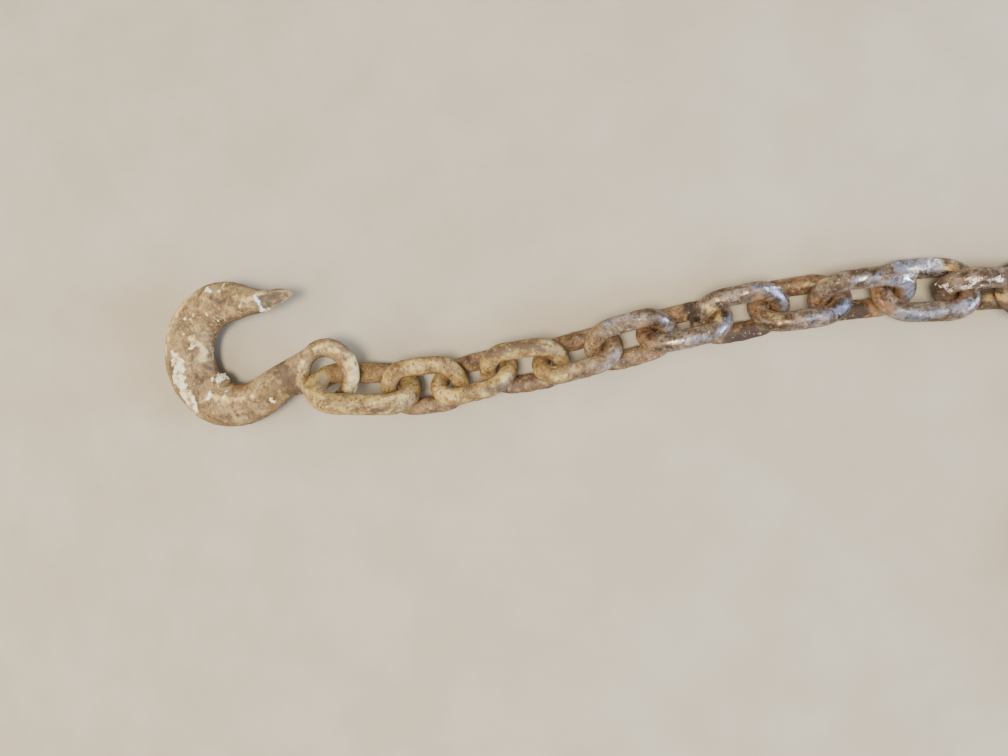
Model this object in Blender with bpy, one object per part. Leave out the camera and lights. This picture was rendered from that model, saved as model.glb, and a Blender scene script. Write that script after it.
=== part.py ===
"""Steel tow chain with a forged eye slip hook, lying on a level floor.

The hook and a heavy coupling link lead a run of welded short links. The run lies almost straight, then winds
into a flat coil. Each link leans on one of its bars and the next one leans the other way, as loose chain does.
Units are metres, +Z is up and the chain lies on Z = 0.
"""

import math

import bmesh
import bpy
from mathutils import Matrix, Vector
from mathutils.bvhtree import BVHTree

# Welded link of the chain: wire across its flats, and the hole of the link
LINK_WIRE = 0.0097
LINK_INNER_LENGTH = 0.0323
LINK_INNER_WIDTH = 0.0164
LINK_COUNT = 44

# Longer and heavier link that joins the hook to the chain
COUPLER_WIRE = 0.0123
COUPLER_INNER_LENGTH = 0.0435
COUPLER_INNER_WIDTH = 0.0175

# Sides round the wire of a link, and steps round each of its crowns
WIRE_SIDES = 8
CROWN_STEPS = 6

# Gap between two pieces that pull on each other
CROWN_GAP = 0.0003

# How a piece finds its place in the one before: its slack along itself, then its shifts sideways and up
TIGHTEST_SLACK = -0.0030
LOOSEST_SLACK = 0.0080
SLACK_STEP = 0.0001
SHIFT_STEP = 0.0005
SHIFT_COUNT = 10
EYE_SHIFT_COUNT = 3

# Heading, pitch and lean of each link in the loose run, in degrees
LOOSE_LINKS = (
    (7.0, -4.0, 29.0),
    (14.5, 0.0, -50.0),
    (9.0, 0.0, 43.0),
    (15.5, 0.0, -52.0),
    (16.5, 0.0, 45.0),
    (13.0, 0.0, -57.0),
    (12.0, 0.0, 44.0),
    (8.5, 0.0, -46.0),
    (6.0, 0.0, 56.0),
    (1.0, 0.0, -29.0),
    (-2.0, 0.0, 70.0),
    (0.0, 0.0, -26.0),
)
COIL_LEAN = 45.0

# How far a flatter link hangs below its neighbours, as a share of the play of a wire in the hole of a link
HELD_SHARE = 0.65

# Links that go straight on after the loose run, before the flat coil is wound clockwise and inwards
STRAIGHT_LINKS = 4
COIL_RADIUS = 0.126
COIL_GAP = 0.0043

# How the last link lies
END_LEAN = 35.0
END_PITCH = -2.0

# Ring of the hook's eye, and its hole, which is set a little towards the shank
EYE_RADIUS = 0.0206
EYE_HOLE_RADIUS = 0.0120
EYE_HOLE_OFFSET = 0.0010
EYE_THICKNESS = 0.0098
EYE_STEPS = 20

# Bowl of the hook in its own plane, from the eye's centre: two circles that aren't concentric
BOWL_OUTER_CENTRE = (-0.0690, 0.0090)
BOWL_OUTER_RADIUS = 0.0465
BOWL_INNER_CENTRE = (-0.0600, 0.0135)
BOWL_INNER_RADIUS = 0.0210
BOWL_THICKNESS = 0.0190
BOWL_START = 84.0
BOWL_END = 292.0
BOWL_STEPS = 9

# Point and shank of the hook: outer edge, inner edge and thickness at each section
POINT_SECTIONS = (
    ((-0.0226, 0.0470), (-0.0214, 0.0456), 0.0040),
    ((-0.0285, 0.0500), (-0.0262, 0.0425), 0.0075),
    ((-0.0385, 0.0490), (-0.0340, 0.0388), 0.0110),
    ((-0.0500, 0.0510), (-0.0455, 0.0355), 0.0150),
)
SHANK_SECTIONS = (
    ((-0.0330, -0.0200), (-0.0385, 0.0030), 0.0165),
    ((-0.0230, -0.0130), (-0.0270, 0.0095), 0.0135),
    ((-0.0140, -0.0080), (-0.0170, 0.0100), 0.0100),
)
HOOK_SIDES = 12
SECTION_FULLNESS = 2.4

# How the hook lies: its eye rides up on the coupling link, by this much more at a time where the link needs it
HOOK_PITCH = 6.6
HOOK_ROLL = 4.8
PITCH_STEP = 0.5
PITCH_TRIES = 16

# How the coupling link lies in the eye: inner end of its crown from the eye's centre, and angles in degrees
COUPLER_CROWN = (0.0024, -0.0086)
COUPLER_HEADING = -1.1
COUPLER_LEAN = -56.6
COUPLER_PITCH = -13.0

RUSTY_BROWN = (0.30, 0.21, 0.13, 1.0)


def clear_scene():
    for item in list(bpy.data.objects):
        bpy.data.objects.remove(item, do_unlink=True)


def rusted_steel(name, roughness):
    material = bpy.data.materials.new(name)
    material.use_nodes = True
    shader = material.node_tree.nodes["Principled BSDF"]
    shader.inputs["Base Color"].default_value = RUSTY_BROWN
    shader.inputs["Roughness"].default_value = roughness
    shader.inputs["Metallic"].default_value = 0.6
    return material


def add_object(name, mesh, matrix, material):
    mesh.materials.append(material)
    item = bpy.data.objects.new(name, mesh)
    item.matrix_world = matrix
    bpy.context.scene.collection.objects.link(item)
    return item


def finish_mesh(bm, name):
    bmesh.ops.recalc_face_normals(bm, faces=bm.faces[:])
    mesh = bpy.data.meshes.new(name)
    bm.to_mesh(mesh)
    bm.free()
    mesh.shade_smooth()
    return mesh


def link_mesh(name, wire, inner_length, inner_width):
    """Closed link with round ends, lying in the XY plane with its long way along X."""
    crown_radius = (inner_width + wire) / 2
    straight = inner_length - inner_width
    corner_radius = wire / 2 / math.cos(math.pi / WIRE_SIDES)
    start = Matrix.Translation((straight / 2, -crown_radius, 0)) @ Matrix.Rotation(math.pi / 2, 4, "Y")
    bm = bmesh.new()
    bmesh.ops.create_circle(
        bm,
        segments=WIRE_SIDES,
        radius=corner_radius,
        matrix=start @ Matrix.Rotation(math.pi / WIRE_SIDES, 4, "Z"),
    )
    first_ring = bm.edges[:]
    right = bmesh.ops.spin(
        bm,
        geom=first_ring,
        cent=(straight / 2, 0, 0),
        axis=(0, 0, 1),
        angle=math.pi,
        steps=CROWN_STEPS,
    )
    right_ring = [part for part in right["geom_last"] if isinstance(part, bmesh.types.BMEdge)]
    drawn = bmesh.ops.extrude_edge_only(bm, edges=right_ring)["geom"]
    corners = [part for part in drawn if isinstance(part, bmesh.types.BMVert)]
    drawn_ring = [part for part in drawn if isinstance(part, bmesh.types.BMEdge) and part.is_boundary]
    bmesh.ops.translate(bm, verts=corners, vec=(-straight, 0, 0))
    left = bmesh.ops.spin(
        bm,
        geom=drawn_ring,
        cent=(-straight / 2, 0, 0),
        axis=(0, 0, 1),
        angle=math.pi,
        steps=CROWN_STEPS,
    )
    left_ring = [part for part in left["geom_last"] if isinstance(part, bmesh.types.BMEdge)]
    bmesh.ops.bridge_loops(bm, edges=left_ring + first_ring)
    return finish_mesh(bm, name)


def turned(heading, pitch, lean):
    """Rotation of a piece: leant about its own length, pitched, then turned to its heading, in degrees."""
    return (
        Matrix.Rotation(math.radians(heading), 4, "Z")
        @ Matrix.Rotation(math.radians(-pitch), 4, "Y")
        @ Matrix.Rotation(math.radians(lean), 4, "X")
    )


def height_on_floor(mesh, turn):
    """Height at which a turned mesh just stands on the floor."""
    return -min((turn @ corner.co).z for corner in mesh.vertices)


def surface(mesh, matrix):
    corners = [matrix @ corner.co for corner in mesh.vertices]
    return BVHTree.FromPolygons(corners, [tuple(face.vertices) for face in mesh.polygons])


def link_pose(index):
    """Heading, pitch and lean in degrees of the link with this number, counted from 0."""
    if index < len(LOOSE_LINKS):
        return LOOSE_LINKS[index]
    side = 1 if index % 2 == 0 else -1
    heading = LOOSE_LINKS[-1][0]
    wound = (index - len(LOOSE_LINKS) - STRAIGHT_LINKS + 0.5) * LINK_INNER_LENGTH
    if wound > 0:
        spacing = (LINK_INNER_WIDTH + LINK_WIRE) * math.cos(math.radians(COIL_LEAN)) + LINK_WIRE + COIL_GAP
        per_radian = spacing / (2 * math.pi)
        heading -= math.degrees(COIL_RADIUS - math.sqrt(COIL_RADIUS**2 - 2 * per_radian * wound)) / per_radian
    if index == LINK_COUNT - 1:
        return heading, END_PITCH, side * END_LEAN
    return heading, 0.0, side * COIL_LEAN


def side_shifts(count):
    """Shifts sideways and up, the smallest first."""
    steps = range(-count, count + 1)
    shifts = [(side * SHIFT_STEP, up * SHIFT_STEP) for side in steps for up in steps if up >= 0]
    return sorted(shifts, key=lambda shift: shift[0] ** 2 + shift[1] ** 2)


def slacks():
    """Slacks of a piece from the tightest to the loosest."""
    steps = range(round(TIGHTEST_SLACK / SLACK_STEP), round(LOOSEST_SLACK / SLACK_STEP) + 1)
    return [step * SLACK_STEP for step in steps]


def free_place(corner, reach, height, turn, feeler, held, tries, count):
    """Place of a piece whose inner end is at `corner`, `reach` before its centre, with the first slack that fits.

    A piece that doesn't pass through the one before on its own line is shifted sideways or rides up on it. None
    means that it fits nowhere near.
    """
    along = turn.to_3x3() @ Vector((1, 0, 0))
    across = Vector((-along.y, along.x, 0)).normalized()
    for side, up in side_shifts(count):
        for slack in tries:
            place = corner + along * (reach - slack) + across * side
            place.z = height + up
            felt = surface(feeler, Matrix.Translation(place) @ turn)
            if not any(tree.overlap(felt) for tree in held):
                return place
    return None


def add_chain(coupler, coupler_matrix, material):
    """Links from the coupling link on, each one pulled tight on the crown of the one before."""
    mesh = link_mesh("chain_link", LINK_WIRE, LINK_INNER_LENGTH, LINK_INNER_WIDTH)
    feeler = link_mesh(
        "link_feeler",
        LINK_WIRE + 2 * CROWN_GAP,
        LINK_INNER_LENGTH - 2 * CROWN_GAP,
        LINK_INNER_WIDTH - 2 * CROWN_GAP,
    )
    turns = [turned(*link_pose(index)) for index in range(LINK_COUNT)]
    heights = [height_on_floor(mesh, turn) for turn in turns]
    drop = HELD_SHARE * (LINK_INNER_WIDTH - LINK_WIRE) / 2
    matrix, end = coupler_matrix, COUPLER_INNER_LENGTH / 2
    held = [surface(coupler.data, matrix)]
    reach = LINK_INNER_LENGTH / 2
    links = []
    for index, turn in enumerate(turns):
        corner = matrix @ Vector((end, 0, 0))
        neighbours = [corner.z, *heights[index + 1 : index + 2]]
        height = max(heights[index], max(neighbours) - drop)
        place = free_place(corner, reach, height, turn, feeler, held[-2:], slacks(), SHIFT_COUNT)
        matrix, end = Matrix.Translation(place) @ turn, reach
        links.append(add_object(f"link_{index + 1:02d}", mesh.copy(), matrix, material))
        held.append(surface(mesh, matrix))
    return links


def section_ring(bm, outer, inner, thickness):
    """One section of the hook between an outer and an inner edge: an ellipse filled out towards a box."""
    outer, inner = Vector((*outer, 0)), Vector((*inner, 0))
    middle, half = (outer + inner) / 2, (outer - inner) / 2
    corners = []
    for side in range(HOOK_SIDES):
        angle = 2 * math.pi * (side + 0.5) / HOOK_SIDES
        across = math.copysign(abs(math.cos(angle)) ** (2 / SECTION_FULLNESS), math.cos(angle))
        up = math.copysign(abs(math.sin(angle)) ** (2 / SECTION_FULLNESS), math.sin(angle))
        corners.append(bm.verts.new(middle + half * across + Vector((0, 0, up * thickness / 2))))
    return [bm.edges.new((corners[side - 1], corners[side])) for side in range(HOOK_SIDES)]


def bowl_sections():
    sections = []
    for step in range(BOWL_STEPS + 1):
        angle = math.radians(BOWL_START + (BOWL_END - BOWL_START) * step / BOWL_STEPS)
        outwards = Vector((math.cos(angle), math.sin(angle)))
        outer = Vector(BOWL_OUTER_CENTRE) + outwards * BOWL_OUTER_RADIUS
        inner = Vector(BOWL_INNER_CENTRE) + outwards * BOWL_INNER_RADIUS
        sections.append((tuple(outer), tuple(inner), BOWL_THICKNESS))
    return sections


def hook_body_mesh():
    """Point, bowl and shank of the hook as one swept body."""
    bm = bmesh.new()
    sections = [*POINT_SECTIONS, *bowl_sections(), *SHANK_SECTIONS]
    rings = [section_ring(bm, *section) for section in sections]
    for ring, following in zip(rings, rings[1:]):
        bmesh.ops.bridge_loops(bm, edges=ring + following)
    for ring in (rings[0], rings[-1]):
        bmesh.ops.edgeloop_fill(bm, edges=ring)
    return finish_mesh(bm, "hook_body")


def eye_mesh():
    """Ring of the eye, wider on the side of the shank, where its hole is set back."""
    bm = bmesh.new()
    ring_sections = []
    for step in range(EYE_STEPS):
        angle = 2 * math.pi * step / EYE_STEPS
        outwards = Vector((math.cos(angle), math.sin(angle)))
        hole = outwards * EYE_HOLE_RADIUS - Vector((EYE_HOLE_OFFSET, EYE_HOLE_OFFSET))
        ring_sections.append(section_ring(bm, tuple(outwards * EYE_RADIUS), tuple(hole), EYE_THICKNESS))
    for step, ring in enumerate(ring_sections):
        bmesh.ops.bridge_loops(bm, edges=ring_sections[step - 1] + ring)
    return finish_mesh(bm, "eye")


def hook_matrix(mesh, pitch):
    """Place of the hook with its bowl on the floor and its eye raised; the eye's centre is over the origin."""
    turn = turned(0.0, pitch, HOOK_ROLL)
    return Matrix.Translation((0, 0, height_on_floor(mesh, turn))) @ turn


def add_hook(material):
    """Hook in one piece: its body, united with the ring of its eye."""
    mesh = hook_body_mesh()
    matrix = hook_matrix(mesh, HOOK_PITCH)
    hook = add_object("slip_hook", mesh, matrix, material)
    eye = add_object("eye_ring", eye_mesh(), matrix, material)
    eye.hide_render = True
    eye.display_type = "WIRE"
    joined = hook.modifiers.new("eye", "BOOLEAN")
    joined.operation = "UNION"
    joined.solver = "EXACT"
    joined.object = eye
    return hook, eye


def add_coupler(hook, eye, material):
    """Coupling link with its crown in the hook's eye, which rides up on it until the crown fits."""
    mesh = link_mesh("coupling_link", COUPLER_WIRE, COUPLER_INNER_LENGTH, COUPLER_INNER_WIDTH)
    feeler = link_mesh(
        "coupling_feeler",
        COUPLER_WIRE + 2 * CROWN_GAP,
        COUPLER_INNER_LENGTH - 2 * CROWN_GAP,
        COUPLER_INNER_WIDTH - 2 * CROWN_GAP,
    )
    turn = turned(COUPLER_HEADING, COUPLER_PITCH, COUPLER_LEAN)
    height = height_on_floor(mesh, turn)
    corner = Vector((*COUPLER_CROWN, 0))
    reach = COUPLER_INNER_LENGTH / 2
    nearest_first = sorted(slacks(), key=abs)
    for step in range(PITCH_TRIES):
        hook.matrix_world = eye.matrix_world = hook_matrix(hook.data, HOOK_PITCH + step * PITCH_STEP)
        held = [surface(piece.data, hook.matrix_world) for piece in (hook, eye)]
        place = free_place(corner, reach, height, turn, feeler, held, nearest_first, EYE_SHIFT_COUNT)
        if place:
            break
    matrix = Matrix.Translation(place) @ turn
    return add_object("coupling_link", mesh, matrix, material), matrix


def stand_over_origin(items, guides):
    """Parents everything to an empty, moved so that the origin is under the middle of the pieces."""
    bpy.context.view_layer.update()
    depsgraph = bpy.context.evaluated_depsgraph_get()
    corners = []
    for item in items:
        shown = item.evaluated_get(depsgraph)
        corners += [shown.matrix_world @ corner.co for corner in shown.data.vertices]
    low = [min(corner[axis] for corner in corners) for axis in range(3)]
    high = [max(corner[axis] for corner in corners) for axis in range(3)]
    base = bpy.data.objects.new("chain_base", None)
    bpy.context.scene.collection.objects.link(base)
    for item in [*items, *guides]:
        item.parent = base
    base.location = (-(low[0] + high[0]) / 2, -(low[1] + high[1]) / 2, -low[2])


clear_scene()
forged = rusted_steel("rusted forging", 0.75)
welded = rusted_steel("rusted chain", 0.70)
slip_hook, eye_guide = add_hook(forged)
coupling_link, coupler_matrix = add_coupler(slip_hook, eye_guide, welded)
chain_links = add_chain(coupling_link, coupler_matrix, welded)
stand_over_origin([slip_hook, coupling_link, *chain_links], [eye_guide])
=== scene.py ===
"""Rusty steel tow chain led by a forged eye slip hook, lying on a pale floor.

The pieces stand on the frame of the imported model, in metres with +Z up. The sections follow the chain from
the hook to its far end.
"""
import math
import random

import bmesh
import bpy
import numpy as np
from mathutils import Matrix, Vector, noise


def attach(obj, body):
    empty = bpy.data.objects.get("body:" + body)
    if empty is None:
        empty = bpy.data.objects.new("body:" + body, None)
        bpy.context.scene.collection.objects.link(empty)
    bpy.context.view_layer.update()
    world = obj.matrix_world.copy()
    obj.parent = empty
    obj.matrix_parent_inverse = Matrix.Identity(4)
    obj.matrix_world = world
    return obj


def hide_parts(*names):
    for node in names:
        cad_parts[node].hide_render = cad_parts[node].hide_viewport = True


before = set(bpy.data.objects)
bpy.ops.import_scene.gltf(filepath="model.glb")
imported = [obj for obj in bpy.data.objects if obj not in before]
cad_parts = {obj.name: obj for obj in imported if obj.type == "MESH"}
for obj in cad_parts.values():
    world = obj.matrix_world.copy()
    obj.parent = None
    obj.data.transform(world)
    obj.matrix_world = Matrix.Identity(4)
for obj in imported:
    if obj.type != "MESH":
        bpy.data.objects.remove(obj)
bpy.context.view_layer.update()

# Slip hook: one drop forging of carbon steel with its beak, bowl, shank and eye together. Its black scale has
# rusted through, and it carries dried dust and splashes of plaster.

# One millimetre, in the scene's metres
MM = 0.001

# Sections of the forging in its own plane, in mm from the middle of the eye: outer edge x and y, inner edge x
# and y, thickness, and fullness, which is 2 for an ellipse and more for a section nearer a box
BEAK = (
    (-19.2, 47.6, -18.6, 46.6, 2.4, 2.0),
    (-22.6, 48.9, -21.2, 44.4, 5.6, 2.1),
    (-28.5, 50.0, -25.9, 41.9, 9.4, 2.2),
    (-38.5, 49.2, -34.0, 38.4, 13.0, 2.3),
    (-48.5, 50.8, -45.5, 35.2, 16.4, 2.3),
)
BOWL = (
    (-58.5, 53.9, -56.0, 32.8, 18.4, 2.3),
    (-69.0, 55.1, -65.0, 30.1, 19.4, 2.2),
    (-82.0, 52.4, -71.0, 27.2, 19.4, 2.2),
    (-95.8, 44.4, -75.0, 24.0, 19.4, 2.2),
    (-106.5, 33.0, -77.8, 20.3, 19.4, 2.2),
    (-112.7, 18.2, -79.6, 14.6, 19.4, 2.2),
    (-113.4, 4.0, -79.7, 7.2, 19.4, 2.2),
    (-109.5, -9.8, -77.3, -0.1, 19.4, 2.2),
    (-101.0, -21.8, -73.0, -4.1, 19.4, 2.2),
    (-89.5, -30.4, -68.0, -6.7, 19.4, 2.2),
    (-76.0, -34.2, -61.6, -7.8, 19.4, 2.2),
    (-62.0, -34.0, -54.8, -6.6, 19.1, 2.3),
)
SHANK = (
    (-50.0, -31.0, -48.2, -3.8, 18.3, 2.3),
    (-40.5, -26.4, -40.0, 0.9, 16.9, 2.3),
    (-33.0, -21.4, -32.8, 4.7, 15.2, 2.3),
    (-26.5, -16.4, -25.8, 8.1, 13.2, 2.3),
    (-21.0, -14.2, -18.5, 11.8, 11.4, 2.2),
    (-14.5, -13.0, -11.5, 15.2, 10.2, 2.2),
)
SECTION_SIDES = 36
ROWS_PER_KEY = 9


def smooth_run(keys, steps):
    """Rows between key rows, on a curve that passes through each of them."""
    keys = np.array(keys, float)
    rows = np.vstack([2 * keys[0] - keys[1], keys, 2 * keys[-1] - keys[-2]])
    run = []
    for a, b, c, d in zip(rows, rows[1:], rows[2:], rows[3:]):
        for step in range(steps):
            t = step / steps
            bend = (a - 2.5 * b + 2 * c - d / 2) * t**2
            run.append(b + (c - a) * t / 2 + bend + (3 * b - a - 3 * c + d) * t**3 / 2)
    return run + [keys[-1]]


def forged_section(bm, row):
    """Ring of edges of one section: a circle filled out, then stretched between its two edges."""
    corners = bmesh.ops.create_circle(bm, segments=SECTION_SIDES, radius=1)["verts"]
    for corner in corners:
        for axis in (0, 1):
            corner.co[axis] = math.copysign(abs(corner.co[axis]) ** (2 / row[5]), corner.co[axis])
    half = (Vector((row[0], row[1])) - Vector((row[2], row[3]))) / 2
    place = Matrix((
        (half.x, 0, -half.y, (row[0] + row[2]) / 2),
        (half.y, 0, half.x, (row[1] + row[3]) / 2),
        (0, row[4] / 2, 0, 0),
        (0, 0, 0, 1),
    ))
    bmesh.ops.transform(bm, matrix=place, verts=corners)
    return list({edge for corner in corners for edge in corner.link_edges})


def bridged(rows, closed):
    """Body through a run of sections, with its two ends filled unless it closes on itself."""
    bm = bmesh.new()
    rings = [forged_section(bm, row) for row in rows]
    for ring, following in zip(rings, rings[1:] + rings[:1] if closed else rings[1:]):
        bmesh.ops.bridge_loops(bm, edges=ring + following)
    if not closed:
        bmesh.ops.edgeloop_fill(bm, edges=rings[0])
        bmesh.ops.edgeloop_fill(bm, edges=rings[-1])
    bmesh.ops.recalc_face_normals(bm, faces=bm.faces[:])
    return bm


def add_piece(name, bm):
    """Object at the origin whose place is in its mesh."""
    mesh = bpy.data.meshes.new(name)
    bm.to_mesh(mesh)
    bm.free()
    mesh.shade_smooth()
    piece = bpy.data.objects.new(name, mesh)
    bpy.context.scene.collection.objects.link(piece)
    return piece


body_bm = bridged(smooth_run([*BEAK, *BOWL, *SHANK], ROWS_PER_KEY), closed=False)

# The beak is dressed to a flat bevel on each face, from a ridge across its base down to the point. These are
# the two ends of the ridge and a place by the point.
RIDGE_TOP = np.array((-41.1, 45.6, 5.4))
RIDGE_FOOT = np.array((-38.2, 36.9, 0.8))
BY_THE_POINT = np.array((-21.0, 46.8, 0.5))

# Nothing behind or below this corner belongs to the beak, and the bevel leaves its edge this thick on each
# face
BEAK_CORNER = (-44, 30)
BEAK_EDGE = 0.4


def over_bevel(points):
    """How far each point stands over the bevel on its own face, and -inf behind the ridge."""
    flat = np.cross(RIDGE_FOOT - RIDGE_TOP, BY_THE_POINT - RIDGE_TOP)
    off = points - RIDGE_TOP
    past_ridge = np.cross((RIDGE_FOOT - RIDGE_TOP)[:2], off[:, :2]) > 0
    level = RIDGE_TOP[2] - off[:, :2] @ flat[:2] / flat[2]
    on_beak = past_ridge & (points[:, 0] > BEAK_CORNER[0]) & (points[:, 1] > BEAK_CORNER[1])
    return np.where(on_beak, abs(points[:, 2]) - np.maximum(level, BEAK_EDGE), -np.inf)


for corner, over in zip(body_bm.verts, over_bevel(np.array([corner.co for corner in body_bm.verts]))):
    if over > 0:
        corner.co.z -= math.copysign(over, corner.co.z)

# The eye is a ring: the middle and radius of its outside, and the middle and two half widths of its hole
EYE_RING = (1.1, -0.1, 20.3)
EYE_HOLE = (-0.4, -1.9, 11.7, 11.0)
EYE_THICKNESS = 10.2
EYE_FULLNESS = 2.15
EYE_STEPS = 80
eye_rows = []
for step in range(EYE_STEPS):
    turn = 2 * math.pi * step / EYE_STEPS
    eye_rows.append((
        EYE_RING[0] + EYE_RING[2] * math.cos(turn),
        EYE_RING[1] + EYE_RING[2] * math.sin(turn),
        EYE_HOLE[0] + EYE_HOLE[2] * math.cos(turn),
        EYE_HOLE[1] + EYE_HOLE[3] * math.sin(turn),
        EYE_THICKNESS,
        EYE_FULLNESS,
    ))

# One skin over body and eye, so that the neck runs into the ring as it does in a forging: the size of its
# voxels in mm, and how often it is smoothed
SKIN_VOXEL = 0.7
SMOOTHINGS = 6
hook_body = add_piece("hook_body", body_bm)
eye_ring = add_piece("eye_ring", bridged(eye_rows, closed=True))
joined = hook_body.modifiers.new("eye", "BOOLEAN")
joined.operation = "UNION"
joined.solver = "EXACT"
joined.object = eye_ring
skin = hook_body.modifiers.new("skin", "REMESH")
skin.mode = "VOXEL"
skin.voxel_size = SKIN_VOXEL
whole = bpy.data.meshes.new_from_object(hook_body.evaluated_get(bpy.context.evaluated_depsgraph_get()))
for helper in (hook_body, eye_ring):
    bpy.data.objects.remove(helper, do_unlink=True)
hook_bm = bmesh.new()
hook_bm.from_mesh(whole)
for _ in range(SMOOTHINGS):
    bmesh.ops.smooth_vert(
        hook_bm, verts=hook_bm.verts, factor=0.5, use_axis_x=True, use_axis_y=True, use_axis_z=True
    )

# Marks on the hook's upper face, in mm: splashes of plaster, with a painted highlight along the bevel's
# lower edge; cream painted highlights; bare rust; and dark painted shade. Each kind has the softness and
# the raggedness of its edge, and each mark has the line or spot that it follows in the hook's plane, its
# half width and its thickness.
HOOK_MARKS = {
    "plaster_and_edge_highlight": (1.8, 2.6, (
        (((-97.4, 7.6), (-97.6, 1.0), (-97.8, -4.5)), 5.4, 0.5),
        (((-97.0, -6.0), (-95.4, -11.0), (-91.8, -16.0)), 4.6, 0.5),
        (((-91.2, -16.6), (-89.3, -20.4)), 5.2, 0.5),
        (((-73.6, -4.4), (-72.6, -5.2)), 3.0, 1.8),
        (((-71.5, 49.8), (-74.2, 50.4)), 1.5, 0.3),
        (((-74.4, 35.5),), 1.4, 0.4),
        (((-90.0, 33.3),), 1.3, 0.4),
        (((-86.0, 32.6),), 1.4, 0.3),
        (((-83.7, 35.5),), 1.3, 0.3),
        (((-83.2, 37.7),), 1.3, 0.3),
        (((-85.8, 36.4),), 1.2, 0.3),
        (((-63.9, 52.5),), 1.4, 0.3),
        (((-64.7, 48.9),), 1.2, 0.3),
        (((-69.3, 33.0), (-65.0, 32.2)), 1.4, 0.3),
        (((-88.3, 15.9), (-86.4, 16.8)), 1.9, 0.4),
        (((-91.7, 23.9), (-90.8, 25.4)), 1.2, 0.3),
        (((-77.4, -16.0), (-76.0, -12.6)), 1.9, 0.4),
        (((-66.2, -14.5), (-65.6, -10.4)), 1.3, 0.3),
        (((-34.3, -15.8), (-32.1, -17.5)), 1.2, 0.3),
        (((-101.5, 9.3), (-101.6, 13.4)), 1.2, 0.3),
        (((-41.4, 45.7), (-39.0, 38.0)), 1.0, 0.2),
        (((-38.8, 37.4), (-36.6, 37.8)), 2.1, 0.4),
        # A painted highlight along the bevel's lower edge
        (((-36.0, 37.8), (-31.0, 39.2), (-24.8, 42.4)), 1.1, 0.2),
        (((-51.1, 39.8),), 1.4, 0.3),
    )),
    # Painted highlights: cream light on the left flank, along the bowl, on the beak's edges and on the eye's
    # right side
    "painted_highlight": (8.0, 3.0, (
        (((-86.0, 48.5), (-98.0, 38.0), (-106.0, 25.0), (-109.5, 12.0)), 3.6, 0),
        (((-58.0, 50.5), (-74.0, 52.5)), 1.6, 0),
        (((-87.0, 21.0), (-82.0, 16.0), (-82.0, 9.0)), 3.4, 0),
        (((-86.0, -19.0), (-76.0, -14.0), (-62.0, -17.0), (-46.0, -13.0)), 3.0, 0),
        (((18.6, 9.0), (19.8, 0.0), (17.0, -9.4)), 4.4, 0),
        (((-10.0, 12.0), (1.0, 16.4), (12.0, 13.0)), 2.6, 0),
        (((-13.0, 7.0), (-11.8, 0.0)), 3.0, 0),
        (((-53.0, 44.0), (-46.0, 43.6), (-38.0, 47.0)), 2.6, 0),
        (((-50.0, 41.0), (-42.0, 39.5)), 1.4, 0),
        (((-38.0, 48.4), (-24.0, 48.8)), 0.6, 0),
    )),
    "rust": (5.0, 3.0, (
        (((-75.6, 24.0), (-71.0, 29.8), (-60.0, 32.6), (-47.0, 35.6)), 1.8, 0),
        (((-82.0, 36.0), (-73.0, 33.0)), 2.4, 0),
        (((-84.0, -27.0), (-63.0, -31.0), (-45.0, -27.5), (-36.0, -22.5)), 1.8, 0),
        (((-62.2, -8.6), (-48.6, -8.0)), 2.0, 0),
        (((9.5, 10.5), (13.0, 3.0), (11.8, -8.0)), 2.4, 0),
        (((-96.0, 30.0), (-84.0, 42.0)), 1.0, 0),
    )),
    # Painted shade: darker in the neck's dip, round the eye's rim, inside the bowl and near its edges
    "painted_shade": (6.0, 4.0, (
        (((-26.5, 3.0), (-23.0, -3.0), (-20.0, -11.0)), 6.6, 0),
        (((-81.0, 4.0), (-77.0, -1.0)), 1.4, 0),
        (((-89.0, 12.0), (-88.0, 0.0), (-82.0, -5.0)), 2.4, 0),
        (((-70.0, 45.0), (-62.0, 43.5)), 2.4, 0),
        (((-66.0, -27.0), (-50.0, -24.0)), 2.6, 0),
        (((13.0, 16.0), (20.4, 10.6)), 1.4, 0),
        (((-86.0, -24.0), (-70.0, -31.0)), 0.8, 0),
    )),
}


def off_run(points, run):
    """Distance in plan from each point to a broken line, or to a spot."""
    nearest = np.full(len(points), np.inf)
    for a, b in zip(run, run[1:] or run):
        a, b = np.array(a), np.array(b)
        along = max(1e-9, (b - a) @ (b - a))
        share = np.clip((points[:, :2] - a) @ (b - a) / along, 0, 1)
        nearest = np.minimum(nearest, np.linalg.norm(points[:, :2] - a - share[:, None] * (b - a), axis=1))
    return nearest


def uneven(points, size):
    """Smooth random field at each point, about -0.5 to 0.5, whose lumps are about this size."""
    return np.array([noise.noise(Vector(point) / size) for point in points])


def covered(points, softness, raggedness, marks):
    """How fully marks cover each point, from 0 to 1, and how thick the fullest mark is there."""
    # Coarse and fine notches of the edge, shallower round a thin mark
    ragged = raggedness * (uneven(points, 2.8) + 0.5 * uneven(points, 1.1))
    cover, thickness = np.zeros(len(points)), np.zeros(len(points))
    for run, half_width, thick in marks:
        wander = ragged * min(1, (half_width + 0.4) / 3)
        here = np.clip(0.5 - (off_run(points, run) - half_width + wander) / softness, 0, 1)
        thickness = np.where(here > cover, thick, thickness)
        cover = np.maximum(cover, here)
    return cover, thickness


def pushed_out(bm, amounts):
    """Moves each vertex along its normal by its own amount."""
    bm.normal_update()
    moves = [vertex.normal * amount for vertex, amount in zip(bm.verts, amounts)]
    for vertex, move in zip(bm.verts, moves):
        vertex.co += move


# Height and width of the dents of the forging and of the lumps of its rust, in mm, and the width of those on
# its marks
HOOK_LUMPS = ((0.30, 11), (0.20, 4), (0.14, 1.7))
CRUST_GRAIN = 1.4

# How softly the bevel ends, and where the upper face begins, in mm
BEVEL_FADE = 0.5
UPPER_FACE = -2

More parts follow.
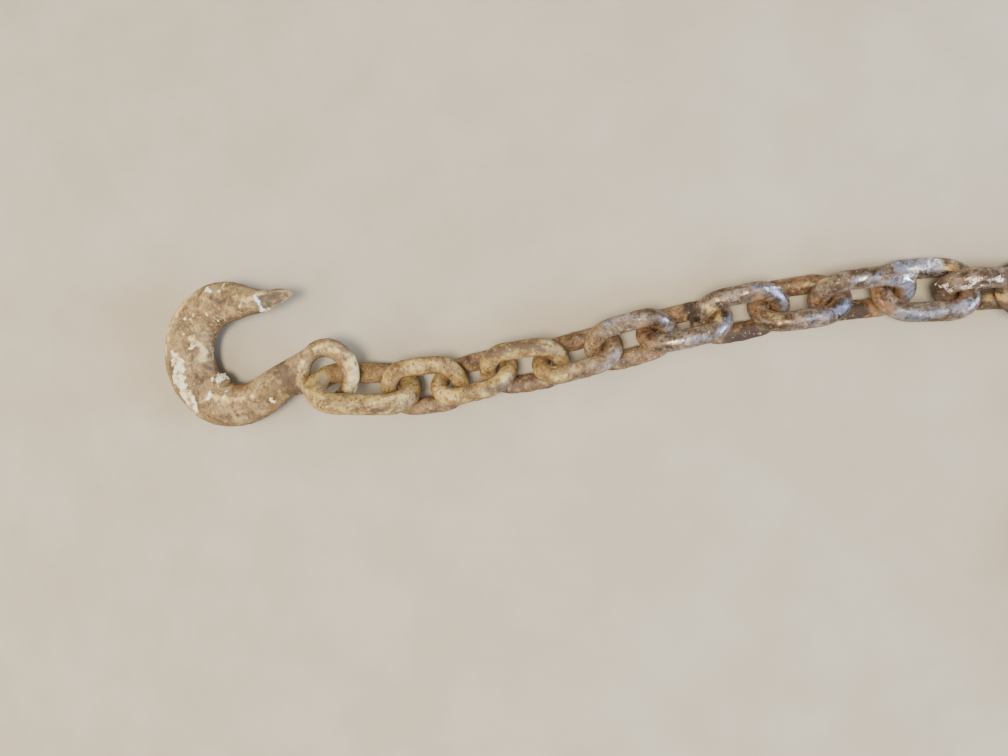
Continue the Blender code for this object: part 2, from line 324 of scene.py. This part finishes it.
points = np.array([vertex.co for vertex in hook_bm.verts])
lifts = sum(high * uneven(points, wide) for high, wide in HOOK_LUMPS)
hook_cover = {"bevel": np.clip(1 + over_bevel(points) / BEVEL_FADE, 0, 1)}
for name, (softness, raggedness, marks) in HOOK_MARKS.items():
    cover, thickness = covered(points, softness, raggedness, marks)
    cover *= points[:, 2] > UPPER_FACE
    hook_cover[name] = cover
    lifts += cover * thickness * (1 + uneven(points, CRUST_GRAIN))
pushed_out(hook_bm, lifts)

# Where the hook lies: its bowl on the floor and its eye up on the coupling link
EYE_CENTRE = Vector((-0.26731, 0.06433, 0.02118))
HOOK_PITCH = math.radians(6.6)
HOOK_ROLL = math.radians(4.8)
hook_place = (
    Matrix.Translation(EYE_CENTRE)
    @ Matrix.Rotation(-HOOK_PITCH, 4, "Y")
    @ Matrix.Rotation(HOOK_ROLL, 4, "X")
    @ Matrix.Scale(MM, 4)
)
bmesh.ops.transform(hook_bm, matrix=hook_place, verts=hook_bm.verts)
hook = add_piece("forged_slip_hook", hook_bm)
for name, cover in hook_cover.items():
    hook.data.attributes.new(name, "FLOAT", "POINT").data.foreach_set("value", cover)


def linear(hex_colour):
    """Linear colour of an sRGB hex value."""
    parts = [int(hex_colour[place : place + 2], 16) / 255 for place in (1, 3, 5)]
    return [part / 12.92 if part <= 0.04045 else ((part + 0.055) / 1.055) ** 2.4 for part in parts] + [1]


def add_node(tree, kind, inputs=None, stops=None, **settings):
    """Adds a node; its inputs are values or other nodes' outputs, and stops are those of a ramp."""
    node = tree.nodes.new(kind)
    for name, value in settings.items():
        setattr(node, name, value)
    for socket, value in (inputs or {}).items():
        if isinstance(value, bpy.types.NodeSocket):
            tree.links.new(value, node.inputs[socket])
        else:
            node.inputs[socket].default_value = value
    if stops:
        ramp = node.color_ramp.elements
        while len(ramp) < len(stops):
            ramp.new(0.5)
        for element, (position, colour) in zip(ramp, stops):
            element.position = position
            element.color = linear(colour)
    return node


def lumps(tree, coords, size, detail=4.0, roughness=0.6, seed=0.0):
    """Random pattern whose lumps are about this size in mm."""
    return add_node(
        tree,
        "ShaderNodeTexNoise",
        {"Vector": coords, "W": seed, "Scale": 1 / (size * MM), "Detail": detail, "Roughness": roughness},
        noise_dimensions="4D",
    ).outputs["Fac"]


def mask(tree, pattern, low, high, most=1.0, within=None):
    """Part of a pattern over low, at its most over high, and the part under low where high is the lower one.

    Within another mask, it shows only as far as that one does.
    """
    if within:
        pattern = add_node(tree, "ShaderNodeMath", {0: pattern, 1: within}, operation="ADD").outputs[0]
        low, high = low + 1, high + 1
    return add_node(
        tree,
        "ShaderNodeMapRange",
        {0: pattern, 1: low, 2: high, 3: 0.0, 4: most},
        interpolation_type="SMOOTHSTEP",
    ).outputs[0]


def layered(tree, base, layers):
    """Base colour with each tone laid over it through its mask."""
    for cover, tone in layers:
        colour = tone if isinstance(tone, bpy.types.NodeSocket) else linear(tone)
        base = add_node(tree, "ShaderNodeMix", {0: cover, 6: base, 7: colour}, data_type="RGBA").outputs[2]
    return base


def toned(tree, pattern, stops):
    """Colours of a pattern from its lowest to its highest."""
    return add_node(tree, "ShaderNodeValToRGB", {0: pattern}, stops=stops).outputs["Color"]


# Real rust pits lie under 1 mm apart. They are drawn this far apart, so that they show.
PIT_SPACING = 2.4


def rust_pits(tree, coords):
    """Round pits, wider and closer together in some places than in others."""
    spots = add_node(tree, "ShaderNodeTexVoronoi", {"Vector": coords, "Scale": 1 / (PIT_SPACING * MM)})
    crowded = add_node(
        tree,
        "ShaderNodeMath",
        {0: spots.outputs["Distance"], 1: lumps(tree, coords, 9.0, 3.0)},
        operation="ADD",
    )
    return mask(tree, crowded.outputs[0], 0.68, 0.52, 0.85)


def new_material(name):
    """Material of this name, with its node tree and its surface shader."""
    material = bpy.data.materials.new(name)
    material.use_nodes = True
    return material, material.node_tree, material.node_tree.nodes["Principled BSDF"]


# Rusted forging under dried dust: matt and mottled, tan where dust lies, brown in its pits and where it is
# bare, with cream painted highlights and dark painted shade, and chalk-white where plaster has splashed it
dusty_forging, tree, shader = new_material("rusted forging under dust")
coords = add_node(tree, "ShaderNodeTexCoord").outputs["Object"]
normal = add_node(tree, "ShaderNodeNewGeometry").outputs["Normal"]
upward = add_node(tree, "ShaderNodeSeparateXYZ", {0: normal}).outputs["Z"]
mark = {
    name: add_node(tree, "ShaderNodeAttribute", attribute_name=name).outputs["Fac"]
    for name in hook_cover
}
colour = layered(
    tree,
    toned(tree, lumps(tree, coords, 3.0), [(0.3, "#3f2a19"), (0.7, "#6b4c30")]),
    [
        # Dried dust on all that looks up
        (
            mask(tree, upward, -0.3, 0.75),
            toned(
                tree,
                lumps(tree, coords, 11.0, 9.0, 0.72),
                [
                    (0.37, "#57442e"),
                    (0.45, "#7d633e"),
                    (0.52, "#9b7f53"),
                    (0.59, "#b49766"),
                    (0.68, "#d0b784"),
                ],
            ),
        ),
        # Broad grey and brown stains
        (mask(tree, lumps(tree, coords, 17.0, 3.0, 0.5, 9.0), 0.50, 0.66, 0.30), "#97886a"),
        (mask(tree, lumps(tree, coords, 7.0, 6.0, 0.7, 1.0), 0.53, 0.64, 0.7), "#73502c"),
        # Pale and dark specks and pits of the scale, coarser than real ones so that they show
        (mask(tree, lumps(tree, coords, 2.2, 5.0, 0.7, 2.0), 0.55, 0.62, 0.50), "#dfc584"),
        (mask(tree, lumps(tree, coords, 1.8, 4.0, 0.7, 3.0), 0.55, 0.63, 0.65), "#4a341f"),
        (rust_pits(tree, coords), "#5e3d1d"),
        # The placed marks, each broken up by a grain of its own
        (mask(tree, lumps(tree, coords, 4.0, 6.0, 0.7, 4.0), 0.05, 0.60, 0.75, mark["rust"]), "#7a5430"),
        # Painted shade, dark brown
        (mask(tree, lumps(tree, coords, 5.0, 6.0, 0.7, 5.0), 0.00, 0.55, 0.85, mark["painted_shade"]), "#523f2e"),
        # Painted highlights, cream
        (mask(tree, lumps(tree, coords, 4.0, 6.0, 0.7, 6.0), 0.00, 0.66, 0.88, mark["painted_highlight"]), "#fcde92"),
        (mask(tree, lumps(tree, coords, 3.4, 6.0, 0.75, 6.5), 0.36, 0.54, 0.8, mark["bevel"]), "#51453a"),
        # Plaster, and the painted highlight along the bevel's lower edge
        (
            mask(tree, lumps(tree, coords, 1.5, 5.0, 0.75, 7.0), 0.26, 0.44, 1.0, mark["plaster_and_edge_highlight"]),
            toned(
                tree,
                lumps(tree, coords, 3.6, 6.0, 0.75, 8.0),
                [(0.39, "#9a7e48"), (0.46, "#e2ce94"), (0.54, "#fffae2")],
            ),
        ),
    ],
)
tree.links.new(colour, shader.inputs["Base Color"])
matt = add_node(tree, "ShaderNodeMapRange", {0: lumps(tree, coords, 5.0), 1: 0.35, 2: 0.65, 3: 0.58, 4: 0.85})
tree.links.new(matt.outputs[0], shader.inputs["Roughness"])
relief = add_node(
    tree,
    "ShaderNodeBump",
    {"Strength": 0.9, "Distance": 0.4 * MM, "Height": lumps(tree, coords, 1.4, 5.0, 0.68)},
)
tree.links.new(relief.outputs["Normal"], shader.inputs["Normal"])
hook.data.materials.append(dusty_forging)
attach(hook, "root")
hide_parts("slip_hook")

# Coupling link: a longer and heavier link of round steel wire, bent through the hook's eye and welded. It is
# as dusty as the hook, with darker worn spots along its lower bar.

# Its wire, and the length and width of its opening, in mm
COUPLER_WIRE = 12.3
COUPLER_LENGTH = 43.7
COUPLER_WIDTH = 18.3

# Its mesh, and that of each link: sides of the wire, steps round a crown and steps along a bar
WIRE_SIDES = 36
CROWN_STEPS = 22
BAR_STEPS = 12

# Marks on the coupling link and the chain, as on the hook, but in the plan of the whole chain: white
# splashes, dark spots where the dust is worn off, pale dust, dull brown dirt, painted shadow on the low bars
# under their neighbours, orange rust where a crown is sheltered, and a blue-grey painted reflection of
# the sky on bare steel
CHAIN_MARKS = {
    "splash": (1.0, 3.0, (
        (((-32.4, 106.8), (-30.4, 108.0)), 1.2, 0.15),
        (((-17.6, 103.6), (-16.2, 104.2)), 1.0, 0.15),
        (((-23.6, 108.2), (-19.0, 109.8), (-12.0, 110.4)), 1.2, 0.15),
        (((22.8, 112.0), (25.6, 112.9)), 1.6, 0.2),
        (((45.3, 113.6), (52.1, 117.0), (63.8, 121.6)), 3.3, 0.2),
        (((62.5, 110.2), (66.1, 107.0), (69.2, 108.6), (76.6, 108.9)), 1.5, 0.2),
        (((70.0, 112.0), (78.0, 111.4), (86.0, 111.0)), 1.6, 0.1),
        (((-63.0, 82.0), (-57.0, 83.2)), 0.8, 0.1),
        (((-15.2, 91.6),), 1.4, 0.1),
        (((53.1, 95.9),), 1.2, 0.1),
        (((-265.5, 65.8),), 1.2, 0.15),
    )),
    "worn": (3.0, 2.6, (
        (((-229.0, 44.0), (-226.0, 44.0)), 2.4, -0.1),
        (((-246.0, 47.0), (-235.8, 42.6)), 2.2, -0.1),
        (((-260.0, 48.5),), 1.4, -0.1),
        (((-178.5, 51.0),), 2.0, -0.1),
        (((-161.3, 55.6),), 1.8, -0.1),
    )),
    "dust": (5.0, 2.6, (
        (((-272.0, 54.0), (-258.0, 50.0)), 2.4, 0),
        (((-232.0, 48.0), (-216.0, 52.0)), 2.4, 0),
        (((-199.0, 58.0), (-196.0, 53.5), (-186.0, 51.6)), 4.2, 0),
        (((-160.0, 60.0), (-156.4, 67.0)), 3.0, 0),
        (((-131.0, 70.0), (-129.0, 74.0)), 2.8, 0),
        (((-132.0, 62.6), (-125.0, 62.6)), 2.6, 0),
        (((-48.6, 99.0), (-45.6, 96.0)), 4.0, 0),
        (((67.0, 121.0), (72.4, 119.6)), 3.6, 0),
        (((-67.0, 81.4), (-60.0, 82.4)), 2.4, 0),
        (((90.0, 104.0), (96.0, 104.0)), 3.0, 0),
        (((-19.0, 97.0), (-15.0, 93.0)), 3.2, 0),
        (((1.0, 112.4), (8.0, 113.2)), 2.0, 0),
    )),
    "dull": (5.0, 2.6, (
        (((-168.0, 75.0), (-152.0, 80.6), (-138.0, 79.6)), 4.0, 0),
        (((-167.0, 55.4), (-162.0, 57.0)), 3.8, 0),
        (((-158.0, 56.5), (-152.0, 57.4)), 3.4, 0),
        (((-120.0, 64.0), (-113.0, 65.6)), 2.6, 0),
        (((-80.0, 95.6), (-75.0, 94.0)), 2.6, 0),
        (((-98.0, 70.0), (-92.0, 71.0)), 3.2, 0),
        (((-38.0, 110.0), (-32.0, 110.4)), 1.8, 0),
        (((8.0, 109.0), (18.0, 112.0)), 4.0, 0),
    )),
    # Painted shadow on the low bars and crowns that lie under their neighbours
    "painted_shade": (6.0, 2.6, (
        (((-36.0, 83.6), (-21.0, 86.4)), 6.0, 0),
        (((18.0, 97.2), (28.0, 98.4)), 6.4, 0),
        (((-59.0, 102.0), (-56.4, 95.0)), 4.6, 0),
        (((-86.0, 87.0), (-84.0, 82.0)), 1.6, 0),
        (((60.0, 106.0), (63.0, 109.6)), 2.6, 0),
    )),
    "orange": (6.0, 3.0, (
        (((-139.0, 75.0), (-140.0, 66.0)), 2.6, 0),
        (((-110.0, 83.0), (-108.0, 79.0)), 3.2, 0),
        (((-84.0, 91.0), (-85.0, 84.0), (-80.0, 80.0)), 4.0, 0),
        (((-24.0, 105.0), (-25.0, 97.0)), 4.4, 0),
        (((-8.0, 113.0), (-1.0, 113.0)), 2.8, 0),
        (((33.0, 108.0), (34.0, 101.0), (39.0, 97.0)), 4.2, 0),
        (((4.0, 103.0), (9.0, 101.0)), 3.0, 0),
    )),
    # Painted reflection of the sky, blue-grey, on the right-hand crowns and tops of bare steel
    "painted_sky_reflection": (8.0, 2.6, (
        (((-104.0, 91.0), (-96.0, 94.6), (-88.0, 96.0)), 2.6, 0),
        (((-72.0, 91.6), (-69.0, 88.0)), 2.8, 0),
        (((-65.0, 82.0), (-60.0, 82.6), (-51.0, 84.4)), 3.2, 0),
        (((-45.0, 87.0), (-41.0, 90.0), (-39.4, 96.0)), 2.4, 0),
        (((-26.0, 109.6), (-18.0, 108.6), (-12.4, 105.0), (-11.0, 100.0)), 3.4, 0),
        (((1.0, 94.0), (10.0, 96.6), (18.8, 102.0)), 3.8, 0),
        (((22.0, 113.0), (32.0, 113.4)), 3.6, 0),
        (((36.0, 112.4), (42.0, 111.0)), 3.4, 0),
        (((46.0, 110.0), (50.0, 105.6)), 4.4, 0),
        (((41.0, 96.0), (53.0, 94.6), (66.0, 97.8), (74.6, 102.0)), 4.0, 0),
        (((43.0, 120.0), (53.0, 121.2), (64.0, 121.0)), 6.0, 0),
    )),
}


def lie_of(node):
    """How a link's CAD node lies: its middle, its long way, its wide way and its upright, as a matrix."""
    box_points = np.array([vertex.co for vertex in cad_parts[node].data.vertices])
    middle = (box_points.min(0) + box_points.max(0)) / 2
    _, _, ways = np.linalg.svd(box_points - box_points.mean(0), full_matrices=False)
    long_way, wide_way = Vector(ways[0]), Vector(ways[1])
    if long_way.x < 0:
        long_way.negate()
    upright = long_way.cross(wide_way)
    if upright.z < 0:
        upright.negate()
        wide_way.negate()
    turn = Matrix((long_way, wide_way, upright)).transposed().to_4x4()
    return Matrix.Translation(middle) @ turn


def wire_link(wire, length, width):
    """Link of round wire in mm, in its own plane: a circle spun round its crowns and drawn along its bars."""
    crown = (width + wire) / 2
    bar = length - width
    bm = bmesh.new()
    start = Matrix.Translation((bar / 2, -crown, 0)) @ Matrix.Rotation(math.pi / 2, 4, "Y")
    bmesh.ops.create_circle(bm, segments=WIRE_SIDES, radius=wire / 2, matrix=start)
    ring = bm.edges[:]
    first = ring
    for end in (1, -1):
        spun = bmesh.ops.spin(
            bm, geom=ring, cent=(end * bar / 2, 0, 0), axis=(0, 0, 1), angle=math.pi, steps=CROWN_STEPS
        )
        ring = [part for part in spun["geom_last"] if isinstance(part, bmesh.types.BMEdge)]
        for _ in range(BAR_STEPS - (end < 0)):
            drawn = bmesh.ops.extrude_edge_only(bm, edges=ring)["geom"]
            corners = [part for part in drawn if isinstance(part, bmesh.types.BMVert)]
            bmesh.ops.translate(bm, verts=corners, vec=(-end * bar / BAR_STEPS, 0, 0))
            ring = [part for part in drawn if isinstance(part, bmesh.types.BMEdge) and part.is_boundary]
    bmesh.ops.bridge_loops(bm, edges=ring + first)
    bmesh.ops.recalc_face_normals(bm, faces=bm.faces[:])
    return bm


def inside_crowns(points, length, width, wire):
    """How far each point of a link lies on the inner side of a crown, from 0 to 1."""
    # It begins 5 mm before the end of a bar and is full 3 mm past it. Across the wire it fades from the inner
    # side to near the outer one.
    bar = (length - width) / 2
    off_end = np.hypot(points[:, 0] - np.clip(points[:, 0], -bar, bar), points[:, 1])
    inwards = ((width + wire) / 2 - off_end) / (wire / 2)
    round_end = np.clip((abs(points[:, 0]) - bar + 5) / 8, 0, 1)
    return np.clip((inwards + 0.8) / 1.4, 0, 1) * round_end


# How high the weld collar stands and how far it spreads along its bar, and the height and width of the lumps
# of the wire's scale, in mm
WELD_HEIGHT = 0.35
WELD_SPREAD = 2.4
WIRE_LUMPS = ((0.24, 8), (0.18, 3.2), (0.12, 1.5))


def add_link(name, node, wire, length, width, weld_side):
    """Link on the axes of its CAD node, with a low weld collar on one bar and an uneven, scaled skin."""
    bm = wire_link(wire, length, width)
    points = np.array([vertex.co for vertex in bm.verts])
    sheltered = inside_crowns(points, length, width, wire)
    lifts = WELD_HEIGHT * np.exp(-((points[:, 0] / WELD_SPREAD) ** 2)) * (points[:, 1] * weld_side > 0)
    bmesh.ops.transform(bm, matrix=lie_of(node) @ Matrix.Scale(MM, 4), verts=bm.verts)
    points = np.array([vertex.co for vertex in bm.verts]) / MM
    lifts += sum(high * uneven(points, wide) for high, wide in WIRE_LUMPS)
    attributes = {"sheltered": sheltered}
    for kind, (softness, raggedness, marks) in CHAIN_MARKS.items():
        attributes[kind], thickness = covered(points, softness, raggedness, marks)
        lifts += attributes[kind] * thickness
    pushed_out(bm, lifts * MM)
    # What rests on the floor is flat there and not sunk into it
    for vertex in bm.verts:
        vertex.co.z = max(vertex.co.z, 0)
    link = add_piece(name, bm)
    for kind, values in attributes.items():
        link.data.attributes.new(kind, "FLOAT", "POINT").data.foreach_set("value", values)
    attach(link, "root")
    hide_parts(node)
    return link


coupler = add_link("welded_coupling_link", "coupling_link", COUPLER_WIRE, COUPLER_LENGTH, COUPLER_WIDTH, 1)

# Chain links: short links of round mild steel wire, each bent through the one before and butt welded on one
# bar. The first ones are dusty and tan like the hook, the later ones are rubbed to dull grey on top and rust
# orange inside their crowns.

# Their number, and the wire of each and the length and width of its opening, in mm
LINK_COUNT = 44
LINK_WIRE = 10.1
LINK_LENGTH = 32.3
LINK_WIDTH = 16.4

# The weld is on one bar or the other, by chance
weld_sides = random.Random(5)
links = [coupler]
for number in range(1, LINK_COUNT + 1):
    links.append(
        add_link(
            f"welded_link_{number:02d}",
            f"link_{number:02d}",
            LINK_WIRE,
            LINK_LENGTH,
            LINK_WIDTH,
            weld_sides.choice((-1, 1)),
        )
    )

# Worn and rusted wire: dusty tan near the hook, further on grey-brown with a soft metal gloss on top, orange
# rust where a neighbour shelters it, fine pits all over and dried white splashes
worn_wire, tree, shader = new_material("worn and rusted steel wire")
coords = add_node(tree, "ShaderNodeTexCoord").outputs["Object"]
where = add_node(tree, "ShaderNodeSeparateXYZ", {0: coords}).outputs
normal = add_node(tree, "ShaderNodeNewGeometry").outputs["Normal"]
upward = mask(tree, add_node(tree, "ShaderNodeSeparateXYZ", {0: normal}).outputs["Z"], -0.4, 0.7)
mark = {
    name: add_node(tree, "ShaderNodeAttribute", attribute_name=name).outputs["Fac"]
    for name in ("sheltered", *CHAIN_MARKS)
}

# The dust thins out along the first links. What lies high is rubbed, and further on what lies low is too. All
# are places and heights in metres.
past_dust = mask(tree, where["X"], -0.155, -0.078)
height = add_node(
    tree,
    "ShaderNodeMath",
    {0: lumps(tree, coords, 14.0, 3.0, 0.5, 0.3), 1: 0.014, 2: where["Z"]},
    operation="MULTIPLY_ADD",
).outputs[0]
rubbed_lower = mask(tree, where["X"], 0.035, 0.055, 0.009)
height = add_node(tree, "ShaderNodeMath", {0: height, 1: rubbed_lower}, operation="ADD").outputs[0]
raised = mask(tree, height, 0.016, 0.026)

# Tones of dusty, rubbed and low, rusty wire from their darkest to their palest lumps
dusty = toned(
    tree,
    lumps(tree, coords, 8.0, 9.0, 0.72),
    [(0.37, "#644b29"), (0.45, "#8b6c3a"), (0.52, "#ab8d4e"), (0.59, "#c5a862"), (0.68, "#dfc47e")],
)
rubbed = toned(
    tree,
    lumps(tree, coords, 7.0, 9.0, 0.72, 0.5),
    [(0.37, "#4a392b"), (0.45, "#665240"), (0.52, "#7f6c58"), (0.59, "#988774"), (0.68, "#b8ab9a")],
)
low_rust = toned(
    tree,
    lumps(tree, coords, 6.0, 9.0, 0.72, 0.7),
    [(0.37, "#46301d"), (0.46, "#705236"), (0.53, "#8c6d49"), (0.60, "#a58860"), (0.70, "#c2a77c")],
)
skyward = layered(tree, low_rust, [(raised, layered(tree, dusty, [(past_dust, rubbed)]))])
colour = layered(
    tree,
    toned(tree, lumps(tree, coords, 3.0), [(0.3, "#432c1b"), (0.7, "#704d2f")]),
    [
        (upward, skyward),
        # Brown stains
        (mask(tree, lumps(tree, coords, 5.0, 6.0, 0.7, 5.0), 0.53, 0.64, 0.65), "#6f4e2e"),
        # The placed marks, and the rust that every crown shelters
        (mask(tree, lumps(tree, coords, 4.0, 6.0, 0.7, 1.0), 0.05, 0.65, 0.80, mark["dust"]), "#efd084"),
        (mask(tree, lumps(tree, coords, 4.0, 6.0, 0.7, 1.5), 0.00, 0.50, 0.85, mark["dull"]), "#5a4735"),
        # Painted shadow, near black
        (mask(tree, lumps(tree, coords, 4.0, 6.0, 0.7, 1.7), 0.00, 0.45, 0.88, mark["painted_shade"]), "#33261c"),
        # Painted reflection of the sky, blue-grey
        (mask(tree, lumps(tree, coords, 3.0, 6.0, 0.7, 2.5), 0.00, 0.75, 0.85, mark["painted_sky_reflection"]), "#a0abc0"),
        (mask(tree, lumps(tree, coords, 4.0, 6.0, 0.7, 3.5), 0.05, 0.65, 0.80, mark["orange"]), "#9c734a"),
        (
            mask(tree, lumps(tree, coords, 4.0, 6.0, 0.7, 4.0), 0.10, 0.60, 0.80, mark["sheltered"]),
            layered(tree, linear("#a08256"), [(past_dust, "#916b45")]),
        ),
        # Pits and pale and dark specks of the scale, coarser than real ones so that they show
        (rust_pits(tree, coords), "#5a3b1e"),
        (mask(tree, lumps(tree, coords, 2.2, 5.0, 0.7, 2.0), 0.57, 0.65, 0.45), "#dfcaa2"),
        (mask(tree, lumps(tree, coords, 1.8, 4.0, 0.7, 6.0), 0.54, 0.62, 0.70), "#3b2a1c"),
        # Worn spots and white splashes lie over all the rest
        (mask(tree, lumps(tree, coords, 2.5, 4.0, 0.7, 3.0), 0.25, 0.60, 0.85, mark["worn"]), "#463d37"),
        (
            mask(tree, lumps(tree, coords, 1.3, 5.0, 0.75, 7.0), 0.43, 0.55, 1.0, mark["splash"]),
            toned(
                tree,
                lumps(tree, coords, 1.9, 5.0, 0.75, 9.0),
                [(0.37, "#b08a70"), (0.45, "#ecdccd"), (0.52, "#fffdf9")],
            ),
        ),
    ],
)
tree.links.new(colour, shader.inputs["Base Color"])

# Past the dust, the tops are rubbed bare in patches and have the gloss of metal
dust_free = add_node(tree, "ShaderNodeMath", {0: past_dust, 1: upward}, operation="MULTIPLY").outputs[0]
rubbed_tops = add_node(tree, "ShaderNodeMath", {0: dust_free, 1: raised}, operation="MULTIPLY").outputs[0]
bare = mask(tree, lumps(tree, coords, 7.0, 5.0, 0.65, 8.0), 0.36, 0.60, 1.0, rubbed_tops)
tree.links.new(
    add_node(tree, "ShaderNodeMapRange", {0: bare, 3: 0.0, 4: 0.7}).outputs[0], shader.inputs["Metallic"]
)
tree.links.new(
    add_node(tree, "ShaderNodeMapRange", {0: bare, 3: 0.64, 4: 0.27}).outputs[0], shader.inputs["Roughness"]
)
relief = add_node(
    tree,
    "ShaderNodeBump",
    {"Strength": 0.7, "Distance": 0.25 * MM, "Height": lumps(tree, coords, 2.0, 5.0, 0.62)},
)
tree.links.new(relief.outputs["Normal"], shader.inputs["Normal"])
for link in links:
    link.data.materials.append(worn_wire)

# Floor, light and camera: a plain pale floor under a soft key light high over the near side, a cool window
# low on the right, a warm fill on the left and an even pale sky.

FLOOR_HALF_WIDTH = 30
floor_bm = bmesh.new()
bmesh.ops.create_grid(floor_bm, x_segments=1, y_segments=1, size=FLOOR_HALF_WIDTH)
floor = add_piece("floor", floor_bm)
pale_floor, tree, shader = new_material("pale screed")
coords = add_node(tree, "ShaderNodeTexCoord").outputs["Object"]
clouds = mask(tree, lumps(tree, coords, 60.0, 6.0), 0.35, 0.65)
screed = layered(tree, linear("#c9bea6"), [(clouds, "#c0b49a")])
tree.links.new(screed, shader.inputs["Base Color"])
shader.inputs["Roughness"].default_value = 0.9
floor.data.materials.append(pale_floor)

# Name, place, width in metres, watts and tint of each light
LIGHTS = (
    ("high_key", (-0.15, -0.1, 1.7), 0.6, 32.0, "#fff1dc"),
    ("right_window", (1.5, 0.0, 0.45), 0.7, 54.0, "#b0ccff"),
    ("left_fill", (-1.4, -0.2, 0.8), 1.4, 15.0, "#fff1de"),
)
for name, place, size, power, tint in LIGHTS:
    lamp = bpy.data.lights.new(name, "AREA")
    lamp.shape = "DISK"
    lamp.size = size
    lamp.energy = power
    lamp.color = linear(tint)[:3]
    light = bpy.data.objects.new(name, lamp)
    light.location = place
    light.rotation_euler = Vector(place).to_track_quat("Z", "Y").to_euler()
    bpy.context.scene.collection.objects.link(light)

SKY_TINT = "#e9eef5"
SKY_STRENGTH = 0.6
world = bpy.data.worlds.new("pale_sky")
world.use_nodes = True
world.node_tree.nodes["Background"].inputs["Color"].default_value = linear(SKY_TINT)
world.node_tree.nodes["Background"].inputs["Strength"].default_value = SKY_STRENGTH
bpy.context.scene.world = world

# Camera above the hook and the first twelve links, looking down and a little to the left
PHOTO_WIDTH = 1008
FOCAL_PIXELS = 757
SENSOR_WIDTH = 36
CAMERA_PLACE = (-0.07701, 0.07855, 0.4385)
camera_data = bpy.data.cameras.new("camera")
camera_data.sensor_fit = "HORIZONTAL"
camera_data.sensor_width = SENSOR_WIDTH
camera_data.lens = SENSOR_WIDTH * FOCAL_PIXELS / PHOTO_WIDTH
camera_data.clip_start = 0.01
camera = bpy.data.objects.new("camera", camera_data)
right = Vector((0.9806, 0.0, -0.1959))
down = Vector((0.00767, -0.99923, 0.03839))
forward = right.cross(down)
view_turn = Matrix((right, -down, -forward)).transposed().to_4x4()
camera.matrix_world = Matrix.Translation(CAMERA_PLACE) @ view_turn
bpy.context.scene.collection.objects.link(camera)
bpy.context.scene.camera = camera
